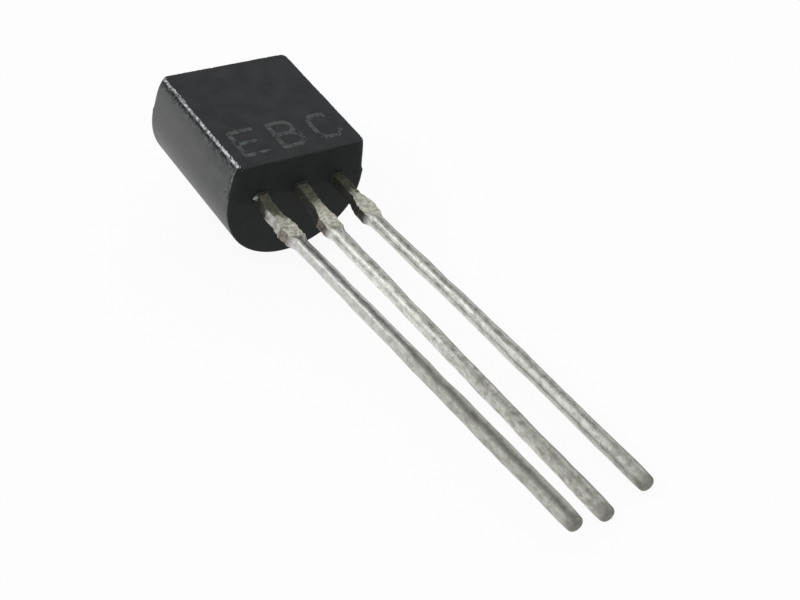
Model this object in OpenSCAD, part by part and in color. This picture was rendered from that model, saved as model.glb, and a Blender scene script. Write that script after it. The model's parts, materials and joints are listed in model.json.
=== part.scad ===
// Small-signal transistor in a moulded TO-92 case with long leads, at rest on its round back and on
// the tips of two leads.
//
// Every piece is drawn in the case's own frame, in millimetres. X runs across the leads, from the
// emitter to the collector. The leads point to -Y and the flat of the case faces +Z. The origin is
// where the middle lead leaves the case, in the plane where the two halves of the mould met.
// lying() then sets the whole part down on the floor, z = 0.

/* [Case] */
// Width of the case in the parting plane
case_w = 4.6; // [4.3:0.05:5.1]
// Length of the case, from the lead end to the closed end
case_len = 4.78; // [4.4:0.02:5.3]
// Height of the flat above the parting plane
flat_rise = 1.12; // [1.05:0.01:1.5]
// Depth of the straight sides between the parting plane and the half-round back
back_straight = 0.14; // [0.04:0.01:0.3]
// Draft of the sides of the front half, in degrees
side_draft = 8.5; // [4:0.5:10]
// Draft of the ends of the front half, in degrees
front_draft = 2.5; // [0.5:0.5:5]
// Draft of the ends of the round back, in degrees
back_draft = 1; // [0.5:0.5:3]
// Radius of the two upright corners at the lead end
near_corner_r = 0.22; // [0.1:0.02:0.4]
// Radius of the two upright corners at the closed end
far_corner_r = 0.14; // [0.06:0.02:0.4]
// Radius along the edges of the flat
flat_edge_r = 0.06; // [0.03:0.01:0.12]
// Radius round the rims of the half-round back
back_edge_r = 0.1; // [0.04:0.02:0.2]
// How far the back half stands out past the front half all round
mould_step = 0.03; // [0.01:0.01:0.06]
// Width of the scar at the closed end where the moulding was broken from its gate
gate_w = 0.9; // [0.5:0.1:1.4]
// How far the gate scar stands out
gate_out = 0.06; // [0.02:0.01:0.1]
// Height of the gate scar
gate_h = 0.22; // [0.14:0.02:0.4]

/* [Leads outside the case] */
// Distance between neighbouring leads where they leave the case
lead_pitch = 1.27; // [1.2:0.01:1.34]
// Length of the base lead from the case to its tip, along the lead
lead_len = 13.57; // [11:0.02:15]
// Slant of the cut across the three tips, in degrees: it leaves the emitter lead the longest
cut_slant = 5.4; // [-8:0.2:8]
// Thickness of the lead-frame sheet
sheet_t = 0.36; // [0.3:0.01:0.42]
// Width of the bare strip at the case
strip_w = 0.34; // [0.3:0.01:0.5]
// Length of the strip before it flares
strip_len = 1; // [0.4:0.05:1.2]
// Length over which the strip flares to the dam-bar stub
flare_len = 0.42; // [0.3:0.02:0.8]
// Width over the stubs of the cut dam bar
stub_w = 0.58; // [0.5:0.01:0.7]
// Length of the dam-bar stub along the lead
stub_len = 0.46; // [0.3:0.02:0.9]
// Diameter of the solder-coated shaft
shaft_d = 0.44; // [0.4:0.01:0.54]
// Length over which the solder coat runs out onto the stub
coat_runout = 0.22; // [0.1:0.02:0.4]
// Radius round the cut tip
tip_r = 0.13; // [0.05:0.01:0.2]

/* [How each lead is bent] */
// Length of a lead between the case and its first bend
root_len = 0.06; // [0.04:0.01:0.2]
// Emitter lead at the case, degrees towards the back's side
emitter_down = 1.9; // [-3:0.1:5]
// Base lead at the case, degrees towards the back's side
base_down = 3.6; // [-3:0.1:5]
// Collector lead at the case, degrees towards the back's side
collector_down = -0.5; // [-3:0.1:5]
// Emitter lead's shaft, degrees towards the flat's side
emitter_up = 5.6; // [0:0.1:8]
// Base lead's shaft, degrees towards the flat's side
base_up = 3.7; // [0:0.1:8]
// Collector lead's shaft, degrees towards the flat's side
collector_up = 4.7; // [0:0.1:8]

/* [Lead frame inside the case] */
// Distance from the lead end of the case to the barbs that lock a lead in the resin
barb_y = 0.4; // [0.3:0.05:0.5]
// Width over the barbs
barb_w = 0.74; // [0.6:0.02:0.84]
// Length of the barbs along the lead
barb_len = 0.3; // [0.2:0.02:0.4]
// Distance from the lead end of the case to the base lead's post
post_y = 1.2; // [1.05:0.05:1.35]
// Width of a bond post
post_w = 0.68; // [0.56:0.02:0.8]
// Length of a bond post along the lead
post_len = 0.64; // [0.5:0.02:0.8]
// Gap between a post and the paddle
frame_gap = 0.24; // [0.16:0.02:0.34]
// Width of the collector's paddle
paddle_w = 1.96; // [1.8:0.02:2.1]
// Length of the collector's paddle
paddle_len = 1.5; // [1.2:0.05:1.7]
// Radius of the paddle's corners
paddle_corner_r = 0.12; // [0.04:0.02:0.2]
// Diameter of the hole in the paddle that resin fills to lock it
lock_hole_d = 0.36; // [0.2:0.02:0.44]

/* [Chip and bond wires] */
// Side of the square chip
chip_side = 0.5; // [0.36:0.02:0.6]
// Thickness of the chip
chip_t = 0.2; // [0.12:0.01:0.3]
// Thickness of the layer that holds the chip on the paddle
attach_t = 0.025; // [0.015:0.005:0.04]
// How far that layer is squeezed out past the chip
attach_out = 0.04; // [0.02:0.01:0.06]
// Diameter of the gold bond wires
wire_d = 0.038; // [0.025:0.001:0.05]
// Height of a wire above the chip before it turns over
loop_rise = 0.16; // [0.1:0.01:0.22]
// Radius of the turn at the top of a wire's loop
loop_r = 0.1; // [0.07:0.01:0.14]
// Distance of each bond pad from the middle of the chip
pad_offset = 0.12; // [0.06:0.01:0.13]

/* [Hidden] */
$fn = 64;

RESIN = "#1c1d1f";
LEAD_METAL = "#b9bab2";
SILICON = "#5f6a78";
ATTACH = "#a9a49a";
GOLD = "#d9b24a";

// Case
half_w = case_w / 2;
cut_over = 1;
back_depth = back_straight + half_w;
front_half_w = half_w - mould_step;
front_end_y = mould_step;
tall = 2 * (flat_rise + back_depth);
flat_disc_z = flat_rise - flat_edge_r;
flat_disc_x = front_half_w - flat_disc_z * tan(side_draft) - flat_edge_r / cos(side_draft);

// Leads outside the case
bend_y = -root_len;
flare_y = -strip_len;
stub_y = flare_y - flare_len;
shaft_y = stub_y - stub_len;
shaft_r = shaft_d / 2;
coat_start_r = 0.8 * sheet_t / 2;
emitter_x = -lead_pitch;
base_x = 0;
collector_x = lead_pitch;

// Lead frame inside the case
sheet_top = sheet_t / 2;
paddle_y = post_y + post_len + frame_gap;
paddle_right = collector_x + strip_w / 2;
paddle_left = paddle_right - paddle_w;
emitter_post_left = emitter_x - post_w / 2;
emitter_post_right = paddle_left - frame_gap;
lock_hole_x = (chip_side / 2 + attach_out + paddle_right) / 2;
lock_hole_y = paddle_y + paddle_len - lock_hole_d;

// Chip and wires
chip_x = 0;
chip_y = paddle_y + paddle_len / 2;
chip_z = sheet_top + attach_t;
chip_top = chip_z + chip_t;
wire_r = wire_d / 2;
kink_r = 1.05 * wire_r;
ball_h = 0.7 * wire_d;
ball_d = 2.6 * wire_d;
stitch_h = 0.6 * wire_d;
stitch_d = 2.2 * wire_d;
emitter_pad = [chip_x - pad_offset, chip_y + pad_offset / 2, chip_top];
base_pad = [chip_x, chip_y - pad_offset, chip_top];
emitter_bond = [(emitter_post_left + emitter_post_right) / 2, paddle_y + post_len / 2, sheet_top];
base_bond = [base_x, post_y + post_len / 2, sheet_top];

// A lead is [where it leaves the case, degrees that it dips there, degrees that its shaft rises].
EMITTER = [emitter_x, emitter_down, emitter_up];
BASE = [base_x, base_down, base_up];
COLLECTOR = [collector_x, collector_down, collector_up];
LEADS = [EMITTER, BASE, COLLECTOR];

// Where a shaft starts, how long it is, the way it points and the end of its axis.
function shaft_start(lead) = [lead[0], bend_y, 0] + (shaft_y - bend_y) * [0, cos(lead[1]), sin(lead[1])];
function shaft_len(lead) = lead_len + shaft_y - lead[0] * tan(cut_slant);
function shaft_dir(lead) = [0, -cos(lead[2]), sin(lead[2])];
function shaft_end(lead) = shaft_start(lead) + shaft_len(lead) * shaft_dir(lead);

// The part touches the floor with rounded rims: the back's at the lead end, and those of the tips.
// A rim is [centre, axis, radius of its ring, radius of its rounding].
function back_rim(y) = [[0, y, -back_straight], [0, 1, 0], half_w - back_edge_r, back_edge_r];
function tip_rim(lead) = [
    shaft_end(lead) - tip_r * shaft_dir(lead),
    shaft_dir(lead),
    shaft_r - tip_r,
    tip_r
];
near_rim = back_rim(back_edge_r);
far_rim = back_rim(case_len - back_edge_r);
tip_rims = [for (lead = LEADS) tip_rim(lead)];

// How far a rim reaches in a direction, from its own centre and from the origin.
function spread(rim, way) = rim[2] * sqrt(1 - pow(rim[1] * way, 2)) + rim[3];
function reach(rim, way) = rim[0] * way + spread(rim, way);

// Upward normal of the floor under three rims, found from a first guess in a few turns.
function floor_normal(rims, up, turns = 8) =
    turns == 0 ? up :
    let (
        p = rims[1][0] - rims[0][0],
        q = rims[2][0] - rims[0][0],
        w = cross(p, q),
        over_p = spread(rims[1], up) - spread(rims[0], up),
        over_q = spread(rims[2], up) - spread(rims[0], up),
        in_plane = (over_p * cross(q, w) + over_q * cross(w, p)) / (w * w),
        across = sign(w[2]) * w / norm(w)
    )
    floor_normal(rims, in_plane + sqrt(1 - in_plane * in_plane) * across, turns - 1);

// Of the pairs of tips that keep the third one off the floor, the pair that leans the case least.
floor_slack = 0.001;
stances = [
    for (pair = [[0, 1], [1, 2], [0, 2]])
        let (
            n = floor_normal([near_rim, tip_rims[pair[0]], tip_rims[pair[1]]], [0, 0, 1]),
            lowest_tip = max([for (rim = tip_rims) reach(rim, -n)])
        )
        if (lowest_tip < reach(near_rim, -n) + floor_slack)
            n
];
highest = max([for (n = stances) n[2]]);
up = [for (n = stances) if (n[2] == highest) n][0];
lean = atan2(-up[0], up[2]);
tilt = asin(up[1]);
floor_z = -reach(near_rim, -up);

// How far the resting part reaches along the floor, so that its middle can sit over the origin.
ahead = [sin(tilt) * sin(lean), cos(tilt), -sin(tilt) * cos(lean)];
mid_y = (reach(far_rim, ahead) - max([for (rim = tip_rims) reach(rim, -ahead)])) / 2;
low_side_reach = max(
    half_w * cos(lean),
    flat_disc_x * cos(lean) + flat_disc_z * sin(abs(lean)) + flat_edge_r
);
high_side_reach = half_w + back_straight * sin(abs(lean));
mid_x = sign(lean) * (low_side_reach - high_side_reach) / 2;

module lying() {
    translate([-mid_x, -mid_y, -floor_z])
        rotate([tilt, 0, 0])
            rotate([0, lean, 0])
                children();
}

// A profile in X-Z, extruded along the whole case and past both its ends.
module along_case() {
    translate([0, case_len + cut_over, 0])
        rotate([90, 0, 0])
            linear_extrude(case_len + 2 * cut_over)
                children();
}

// A profile in Y-Z, extruded across the case and past both its sides.
module across_case() {
    translate([-half_w - cut_over, 0, 0])
        rotate([90, 0, 90])
            linear_extrude(case_w + 2 * cut_over)
                children();
}

// Rounds one convex corner of a polygon: a disc that touches both edges.
module corner_disc(at, r) {
    translate(at)
        circle(r);
}

// Front half seen from the lead end: drafted sides and a flat with small rounded edges.
module front_section() {
    side_x = flat_disc_x + flat_edge_r * cos(side_draft);
    side_z = flat_disc_z + flat_edge_r * sin(side_draft);
    polygon([
        [-front_half_w, 0], [front_half_w, 0],
        [side_x, side_z], [flat_disc_x, flat_rise],
        [-flat_disc_x, flat_rise], [-side_x, side_z]
    ]);
    for (side = [-1, 1])
        corner_disc([side * flat_disc_x, flat_disc_z], flat_edge_r);
}

// Front half seen from the side: drafted ends, rounded where they meet the flat.
module front_side() {
    inset = flat_disc_z * tan(front_draft) + flat_edge_r / cos(front_draft);
    lead_end = front_end_y + inset;
    closed_end = case_len - front_end_y - inset;
    edge_y = flat_edge_r * cos(front_draft);
    edge_z = flat_disc_z + flat_edge_r * sin(front_draft);
    polygon([
        [front_end_y, 0], [case_len - front_end_y, 0],
        [closed_end + edge_y, edge_z], [closed_end, flat_rise],
        [lead_end, flat_rise], [lead_end - edge_y, edge_z]
    ]);
    for (y = [lead_end, closed_end])
        corner_disc([y, flat_disc_z], flat_edge_r);
}

// Half outline of the round back, turned about its axis: a half-round with rounded rims.
module half_round() {
    r = back_edge_r;
    rotate([-90, 0, 0])
        rotate_extrude(angle = 180, $fn = 128) {
            square([half_w - r, case_len]);
            translate([0, r]) square([half_w, case_len - 2 * r]);
            for (y = [r, case_len - r])
                translate([half_w - r, y]) circle(r, $fn = 32);
        }
}

// Straight sides of the back, between the parting plane and the half-round.
module back_sides() {
    translate([-half_w, 0, -back_straight])
        cube([case_w, case_len, back_straight]);
}

// Round back seen from the side: its ends lean in by their draft.
module back_side() {
    inset = back_depth * tan(back_draft);
    polygon([
        [0, 0], [case_len, 0],
        [case_len - inset, -back_depth], [inset, -back_depth]
    ]);
}

// The case from above, with its upright corners rounded, inset all round by the mould's step.
module case_plan(inset) {
    w = half_w - inset;
    near = inset;
    far = case_len - inset;
    for (side = [-1, 1]) {
        translate([side * (w - near_corner_r), near + near_corner_r])
            circle(near_corner_r);
        translate([side * (w - far_corner_r), far - far_corner_r])
            circle(far_corner_r);
    }
    polygon([
        [-w, near + near_corner_r], [-w + near_corner_r, near],
        [w - near_corner_r, near], [w, near + near_corner_r],
        [w, far - far_corner_r], [w - far_corner_r, far],
        [-w + far_corner_r, far], [-w, far - far_corner_r]
    ]);
}

module front_half() {
    intersection() {
        along_case() front_section();
        across_case() front_side();
        linear_extrude(tall, center = true) case_plan(mould_step);
    }
}

module back_half() {
    intersection() {
        union() {
            back_sides();
            translate([0, 0, -back_straight]) half_round();
        }
        across_case() back_side();
        linear_extrude(tall, center = true) case_plan(0);
    }
}

// Broken-off stub of resin where the mould was filled, on the closed end just under the parting plane.
module gate_scar() {
    translate([-gate_w / 2, case_len - near_corner_r, -gate_h - back_straight])
        cube([gate_w, near_corner_r + gate_out, gate_h]);
}

// Resin is moulded around the lead frame, the chip and the wires, and is cut by exactly these shapes.
module moulded_body() {
    color(RESIN)
        lying()
            difference() {
                union() {
                    front_half();
                    back_half();
                    gate_scar();
                }
                emitter_shape();
                base_shape();
                collector_shape();
                attach_shape();
                chip_shape();
                bond_wire_shape(emitter_pad, emitter_bond);
                bond_wire_shape(base_pad, base_bond);
            }
}

// A flat piece of the lead frame, from its outline.
module sheet() {
    linear_extrude(sheet_t, center = true)
        children();
}

// Outline of a lead from the end of its dam-bar stub, through the case wall, to inner_y.
module strip_outline(x, inner_y) {
    translate([x, 0]) {
        polygon([
            [-stub_w / 2, shaft_y], [stub_w / 2, shaft_y],
            [stub_w / 2, stub_y], [strip_w / 2, flare_y],
            [strip_w / 2, inner_y], [-strip_w / 2, inner_y],
            [-strip_w / 2, flare_y], [-stub_w / 2, stub_y]
        ]);
        polygon([
            [-barb_w / 2, barb_y], [barb_w / 2, barb_y],
            [strip_w / 2, barb_y + barb_len], [-strip_w / 2, barb_y + barb_len]
        ]);
    }
}

// The same length of lead seen from the side: it leaves the case straight and then dips.
module strip_side(down, inner_y) {
    mitre = sheet_top * tan(down / 2);
    stub_z = (shaft_y - bend_y) * tan(down);
    half_t = sheet_top / cos(down);
    polygon([
        [inner_y, sheet_top], [bend_y - mitre, sheet_top],
        [shaft_y, stub_z + half_t], [shaft_y, stub_z - half_t],
        [bend_y + mitre, -sheet_top], [inner_y, -sheet_top]
    ]);
}

module strip(lead, inner_y) {
    intersection() {
        linear_extrude(tall, center = true) strip_outline(lead[0], inner_y);
        across_case() strip_side(lead[1], inner_y);
    }
}

// Half outline of a solder-coated shaft, turned about its axis: it starts inside the stub, runs out
// to its full radius and ends in a cut tip with a rounded rim.
module shaft_profile(length) {
    polygon([
        [0, -coat_runout], [coat_start_r, -coat_runout],
        [shaft_r, coat_runout], [shaft_r, length - tip_r],
        [shaft_r - tip_r, length], [0, length]
    ]);
    intersection() {
        translate([shaft_r - tip_r, length - tip_r])
            circle(tip_r);
        square([shaft_r, length]);
    }
}

module shaft(lead) {
    translate(shaft_start(lead))
        rotate([90 - lead[2], 0, 0])
            rotate_extrude()
                shaft_profile(shaft_len(lead));
}

module emitter_shape() {
    shaft(EMITTER);
    strip(EMITTER, paddle_y + post_len / 2);
    sheet()
        translate([emitter_post_left, paddle_y])
            square([emitter_post_right - emitter_post_left, post_len]);
}

module base_shape() {
    shaft(BASE);
    strip(BASE, post_y + post_len / 2);
    sheet()
        translate([base_x - post_w / 2, post_y])
            square([post_w, post_len]);
}

module paddle_outline() {
    r = paddle_corner_r;
    difference() {
        translate([paddle_left, paddle_y])
            union() {
                translate([r, 0]) square([paddle_w - 2 * r, paddle_len]);
                translate([0, r]) square([paddle_w, paddle_len - 2 * r]);
                for (x = [r, paddle_w - r], y = [r, paddle_len - r])
                    translate([x, y]) circle(r);
            }
        translate([lock_hole_x, lock_hole_y])
            circle(d = lock_hole_d);
    }
}

module collector_shape() {
    shaft(COLLECTOR);
    strip(COLLECTOR, paddle_y + paddle_corner_r);
    sheet()
        paddle_outline();
}

module attach_shape() {
    side = chip_side + 2 * attach_out;
    translate([chip_x - side / 2, chip_y - side / 2, sheet_top])
        cube([side, side, attach_t]);
}

module chip_shape() {
    translate([chip_x - chip_side / 2, chip_y - chip_side / 2, chip_z])
        cube([chip_side, chip_side, chip_t]);
}

// A bond wire rises from a flattened ball on the chip, turns over in an arc and runs straight down
// to a stitch on the post. Its loop lies in the upright plane through both ends, and the wire is
// a little fuller where the arc begins and ends.
module bond_wire_shape(pad, bond) {
    run = norm([bond[0] - pad[0], bond[1] - pad[1]]);
    heading = atan2(bond[1] - pad[1], bond[0] - pad[0]);
    arc_z = pad[2] + loop_rise;
    to_bond = [run - loop_r, arc_z - bond[2] - stitch_h];
    slope = atan2(to_bond[1], to_bond[0]) + asin(loop_r / norm(to_bond));
    straight = sqrt(pow(norm(to_bond), 2) - loop_r * loop_r);

    translate(pad)
        cylinder(h = ball_h, d = ball_d);
    translate([pad[0], pad[1], pad[2] + ball_h / 2])
        cylinder(h = loop_rise - ball_h / 2, r = wire_r);
    translate([pad[0], pad[1], 0])
        rotate([0, 0, heading])
            translate([loop_r, 0, arc_z]) {
                translate([-loop_r, 0, 0])
                    sphere(kink_r);
                rotate([90, 0, 0])
                    rotate([0, 0, 90 - slope])
                        rotate_extrude(angle = 90 + slope)
                            translate([loop_r, 0]) circle(wire_r);
                rotate([0, slope, 0])
                    translate([0, 0, loop_r]) {
                        sphere(kink_r);
                        rotate([0, 90, 0])
                            cylinder(h = straight, r = wire_r);
                    }
            }
    translate(bond)
        cylinder(h = stitch_h, d = stitch_d);
}

module emitter_lead() {
    color(LEAD_METAL) lying() emitter_shape();
}

module base_lead() {
    color(LEAD_METAL) lying() base_shape();
}

module collector_lead() {
    color(LEAD_METAL) lying() collector_shape();
}

module silicon_chip() {
    color(SILICON) lying() chip_shape();
}

module die_attach() {
    color(ATTACH) lying() attach_shape();
}

module emitter_bond_wire() {
    color(GOLD) lying() bond_wire_shape(emitter_pad, emitter_bond);
}

module base_bond_wire() {
    color(GOLD) lying() bond_wire_shape(base_pad, base_bond);
}

moulded_body();
emitter_lead();
base_lead();
collector_lead();
silicon_chip();
die_attach();
emitter_bond_wire();
base_bond_wire();
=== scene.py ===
"""A small-signal transistor in a moulded TO-92 case, dressed on the frame of its CAD model.

Sizes are in millimetres in the case's own frame, as in the CAD source: X runs across the leads, the
leads point to -Y and the flat faces +Z. Each mesh is built there, and then carried to where the
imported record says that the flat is.
"""

import json
import math

import bmesh
import bpy
import numpy as np
from mathutils import Matrix, Vector, noise


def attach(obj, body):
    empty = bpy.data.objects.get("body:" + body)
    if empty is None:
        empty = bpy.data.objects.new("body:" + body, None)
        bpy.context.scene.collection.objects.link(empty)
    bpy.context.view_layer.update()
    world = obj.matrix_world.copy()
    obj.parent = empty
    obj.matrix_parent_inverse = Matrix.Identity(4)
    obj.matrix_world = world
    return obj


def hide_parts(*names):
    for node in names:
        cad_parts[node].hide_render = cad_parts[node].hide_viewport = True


MM = 0.001

# Case
CASE_W = 4.6
CASE_LEN = 4.78
FLAT_RISE = 1.12
BACK_STRAIGHT = 0.14
SIDE_DRAFT = math.radians(8.5)
FRONT_DRAFT = math.radians(2.5)
BACK_DRAFT = math.radians(1)
NEAR_CORNER_R = 0.26
FAR_CORNER_R = 0.2
FLAT_EDGE_R = 0.06
BACK_EDGE_R = 0.1
# The front half stands in from the back half by this step, which resin fills on the left and at
# the near end up to about these heights
MOULD_STEP = 0.03
FILLED_STEP_H = 0.25
END_STEP_H = 0.06
# How far the front half's sides bulge out half-way up
SIDE_BULGE = 0.12
RIGHT_BULGE = 0.22 * SIDE_BULGE
# The scar of the gate on the closed end
GATE_W = 0.9
GATE_OUT = 0.05
GATE_H = 0.22
# Points along each side of the case's rings, and how often they are settled onto its surface
PER_SIDE = 120
SETTLINGS = 12
FLAT_HALF_W = CASE_W / 2 - MOULD_STEP - FLAT_RISE * math.tan(SIDE_DRAFT)
# How far the rubbed edge, with its painted highlight, reaches onto the flat
RUB_ON_FLAT = 0.045
# Wear of the flat's edges: how far it reaches from them, and how deep rubbing and chips go
SIDE_WEAR = (0.07, 0.022, 0.075)
END_WEAR = (0.06, 0.008, 0.02)
CORNER_WEAR = (0.16, 0.05, 0.03)
RIGHT_WEAR_SHARE = 0.35
# The case's materials, in the order of its faces' material indices
MATT_FLAT, MATT_END_SHADED, SATIN, PALE, CREPT = range(5)
# The mesh keeps this far inside the CAD case
SKIN = 0.002
# Vertices nearer than this are welded, and shorter edges than the second are taken out
WELD = 5e-4
NO_LENGTH = 1e-5
# Heights that differ by less than this count as the same
HAIR = 0.001

# Leads
LEAD_PITCH = 1.27
SHEET_T = 0.36
ROOT_LEN = 0.06
STRIP_W = 0.34
STRIP_LEN = 1.0
FLARE_LEN = 0.42
STUB_W = 0.58
STUB_LEN = 0.46
STUB_AT = STRIP_LEN + FLARE_LEN
SHAFT_AT = STUB_AT + STUB_LEN
# Half the length over which the stub becomes the shaft, and the length of the solder's edge
STEP_HALF = 0.03
COAT_RUNOUT = 0.22
# The tip: the radii of its edge and of the lead there, and the length that narrows to it
TIP_R = 0.13
END_R = 0.218
END_TAPER = 0.45
# Deeper in the case than this, a lead is the CAD lead's own mesh
INNER_FROM = 0.2
# Where along a lead its burr grows and fades, where its strip's sag does, and the share of the sag
# that there is at the case
BURR_SPAN = (0.35, 0.8, 1.5, 1.8)
SAG_SPAN = (0, 0.3, 0.8, 1.5)
ROOT_SAG = 0.4
# Half the length of the bends at the root and at the start of the shaft
ROOT_BEND = 0.03
SHAFT_BEND = 0.06
PATH_STEP = 0.005
# The more of a burr its stub has, the more a lead is creased there
CREASE_PER_BURR = 22
# How far the solder's lumps stand out before they are cut off, and how far its waves do
LUMP_CAP = 0.004
WAVE_DEPTH = 0.02
# Each lead, in the order of the keys:
#   x, dip: its place across the case, and how far it dips there
#   radii, bow: its shaft's radii from the stub towards the tip, and how far it bows to the right
#   sag: how far its strip sags down and left
#   right, burr: what is left of its dam bar on the right of its middle line, and the burr pushed
#       down on its left
#   side, cut, root, stain: how bright its left face, the cut of its dam bar and its root are, and
#       how stained its stub is; the case's shadow is painted into side on the base and collector
#       leads, into cut on the collector lead, and into the left face's root
#   silver, aged: how bright its solder is when new and where it has aged
#   shade, left_shade, right_shade: how much painted shade darkens the solder along its ridge and
#       down its two sides
#   rough, shine_to: the solder's roughness, and where its shine ends
#   seed: of its noise
LEADS = {
    "emitter_lead": {
        "x": -LEAD_PITCH, "dip": math.radians(1.9),
        "radii": (0.214, 0.226, 0.234, 0.236), "bow": 0.0,
        "sag": 0.055, "right": 0.22, "burr": 0.05,
        "side": 0.54, "cut": 0.28, "root": 0.085, "stain": 1.0,
        "silver": 0.60, "aged": 0.48, "shade": 1.0, "left_shade": 0, "right_shade": 0.12,
        "rough": 0.42, "shine_to": 8, "seed": 0},
    "base_lead": {
        "x": 0, "dip": math.radians(3.6),
        "radii": (0.231, 0.214, 0.217, 0.233), "bow": -0.015,
        "sag": 0, "right": 0.26, "burr": 0.02,
        "side": 0.05, "cut": 0.22, "root": 0.09, "stain": 0.9,
        "silver": 0.95, "aged": 0.55, "shade": 0.6, "left_shade": 0, "right_shade": 0.5,
        "rough": 0.54, "shine_to": 8.5, "seed": 1},
    "collector_lead": {
        "x": LEAD_PITCH, "dip": math.radians(-0.5),
        "radii": (0.218, 0.225, 0.231, 0.235), "bow": 0.033,
        "sag": 0, "right": 0.29, "burr": 0.005,
        "side": 0.05, "cut": 0.06, "root": 0.055, "stain": 0.35,
        "silver": 0.84, "aged": 0.40, "shade": 0.3, "left_shade": 0.12, "right_shade": 0.65,
        "rough": 0.50, "shine_to": 13, "seed": 2},
}

# Resin that crept along each lead
CREEP_LEN = 0.06
CREEP_OUT = 0.045

# Worn ink on the flat: one letter over each lead, drawn as strokes on a grid of 4 by 6
LETTERS = {
    "E": [[(4, 0), (0, 0), (0, 6), (4, 6)], [(0, 3), (3.2, 3)]],
    "B": [[(0, 0), (0, 6), (2.8, 6), (3.6, 5.4), (3.6, 3.7), (2.8, 3.1), (0, 3.1)],
          [(2.8, 3.1), (4, 2.4), (4, 0.8), (3, 0), (0, 0)]],
    "C": [[(4, 1.2), (3, 0.1), (1, 0.1), (0, 1.2), (0, 4.8), (1, 5.9), (3, 5.9), (4, 4.8)]],
}
LETTER_W = 0.72
LETTER_H = 1.05
LETTER_FOOT = 0.6
STROKE_W = 0.15
INK_T = 0.008
INK_CELL = 0.025
# The ink is gone where the noise of its wear is below this
INK_GONE = -0.28

# Camera: the point among the leads that it looks at and how far off that is, and its turn from +Y
# towards +X, its drop below the level and its roll
AIM = Vector((0.218, -4.850, -0.198))
AIM_DISTANCE = 37.454
VIEW_TURN = math.radians(45.98)
VIEW_DROP = math.radians(41.11)
VIEW_ROLL = math.radians(16.554)
LENS = 62.56
SENSOR_W = 36
CLIP_START = 0.001

# Light: the key lamp, whose distance and size are in millimetres too, and the level all round
KEY_FROM = Vector((-0.53, 0.645, 0.55))
KEY_DISTANCE = 120
KEY_SIZE = 34
KEY_POWER = 0.005
FILL_LIGHT = 0.85
# The dark quarter: its middle, how dark it is, and the cosines of the angles from its middle where
# it starts and where it is darkest
DARK_QUARTER = Vector((0.28, 0.65, 0.70))
DARK_LEVEL = 0.10
DARK_FROM = 0.80
DARK_FULL = 0.96
# How much of the floor's look is plain white, and half its size in metres
FLOOR_WHITE = 0.92
FLOOR_HALF = 0.6

# Looks shared by several materials: the depth of their grain in millimetres, and a matt surface's
# specular level
GRAIN_DEPTH = 0.004
MATT_SPECULAR = 0.25


def own_frame(mounts):
    """Where the case's own frame lies in the row frame, from the mount on its flat."""
    up = Vector(mounts["flat"]["axis"])
    tilt = math.atan2(-up.y, up.z)
    lean = math.asin(up.x)
    turn = Matrix.Rotation(tilt, 4, "X") @ Matrix.Rotation(lean, 4, "Y")
    flat_middle = MM * Vector((0, CASE_LEN / 2, FLAT_RISE))
    return Matrix.Translation(Vector(mounts["flat"]["pos_m"]) - turn @ flat_middle) @ turn


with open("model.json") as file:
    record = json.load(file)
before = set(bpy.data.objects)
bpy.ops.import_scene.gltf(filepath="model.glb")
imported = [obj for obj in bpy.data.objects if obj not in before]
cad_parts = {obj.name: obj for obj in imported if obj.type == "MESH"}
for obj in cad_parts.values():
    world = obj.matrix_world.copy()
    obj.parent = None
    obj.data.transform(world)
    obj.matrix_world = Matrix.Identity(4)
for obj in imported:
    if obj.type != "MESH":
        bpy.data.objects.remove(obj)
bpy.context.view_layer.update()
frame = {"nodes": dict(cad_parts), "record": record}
MOUNTS = {m["name"]: m for m in frame["record"]["mounts"]}
OWN = own_frame(MOUNTS)
OWN_INVERSE = OWN.inverted()


# ---------------------------------------------------------------- meshes


def piece(name, verts, faces, materials, sharp=40, replaces=None, finish=None):
    """A mesh drawn in millimetres in the case's own frame, carried to its place in the row frame.

    finish gives the index of each face's material.
    """
    mesh = bpy.data.meshes.new(name)
    mesh.from_pydata([tuple(MM * c for c in v) for v in verts], [], faces)
    for one in materials:
        mesh.materials.append(one)
    if finish is not None:
        mesh.polygons.foreach_set("material_index", finish)
    welded = bmesh.new()
    welded.from_mesh(mesh)
    bmesh.ops.remove_doubles(welded, verts=welded.verts, dist=WELD * MM)
    bmesh.ops.dissolve_degenerate(welded, edges=welded.edges, dist=NO_LENGTH * MM)
    bmesh.ops.recalc_face_normals(welded, faces=welded.faces)
    welded.to_mesh(mesh)
    welded.free()
    mesh.transform(OWN)
    mesh.shade_smooth()
    mesh.set_sharp_from_angle(angle=math.radians(sharp))
    made = bpy.data.objects.new(name, mesh)
    bpy.context.scene.collection.objects.link(made)
    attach(made, "root")
    if replaces:
        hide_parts(replaces)
    return made


def loft(rows, ring, closed=False):
    """Quads between neighbouring rings, where row r holds vertices r * ring onwards."""
    faces = []
    for row in range(rows if closed else rows - 1):
        a, b = row * ring, (row + 1) % rows * ring
        for i in range(ring):
            j = (i + 1) % ring
            faces.append((a + i, b + i, b + j, a + j))
    return faces


def face_places(p, faces):
    """The middle and the unit normal of each face."""
    middles = np.array([p[list(f)].mean(axis=0) for f in faces])
    normals = np.array([np.cross(p[f[2]] - p[f[0]], p[f[-1]] - p[f[1]]) for f in faces])
    return middles, normals / np.maximum(np.linalg.norm(normals, axis=1), 1e-12)[:, None]


def field(points, scale, seed, octaves=3):
    """Smooth noise, about -1 to 1, at each point: scale is the size of its lumps in millimetres."""
    shift = Vector((17.3 * seed, -9.1 * seed, 4.7 * seed))
    return np.array(
        [noise.fractal(Vector(p) / scale + shift, 1.0, 2.0, octaves) for p in points]
    )


def bell(distance, width):
    """1 at no distance, falling to about a third at one width."""
    return np.exp(-((distance / width) ** 2))


def hump(s, *places):
    """1 between the middle two of four places, fading to 0 at the outer ones."""
    return np.interp(s, places, (0, 1, 1, 0))


# ---------------------------------------------------------------- case


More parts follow.
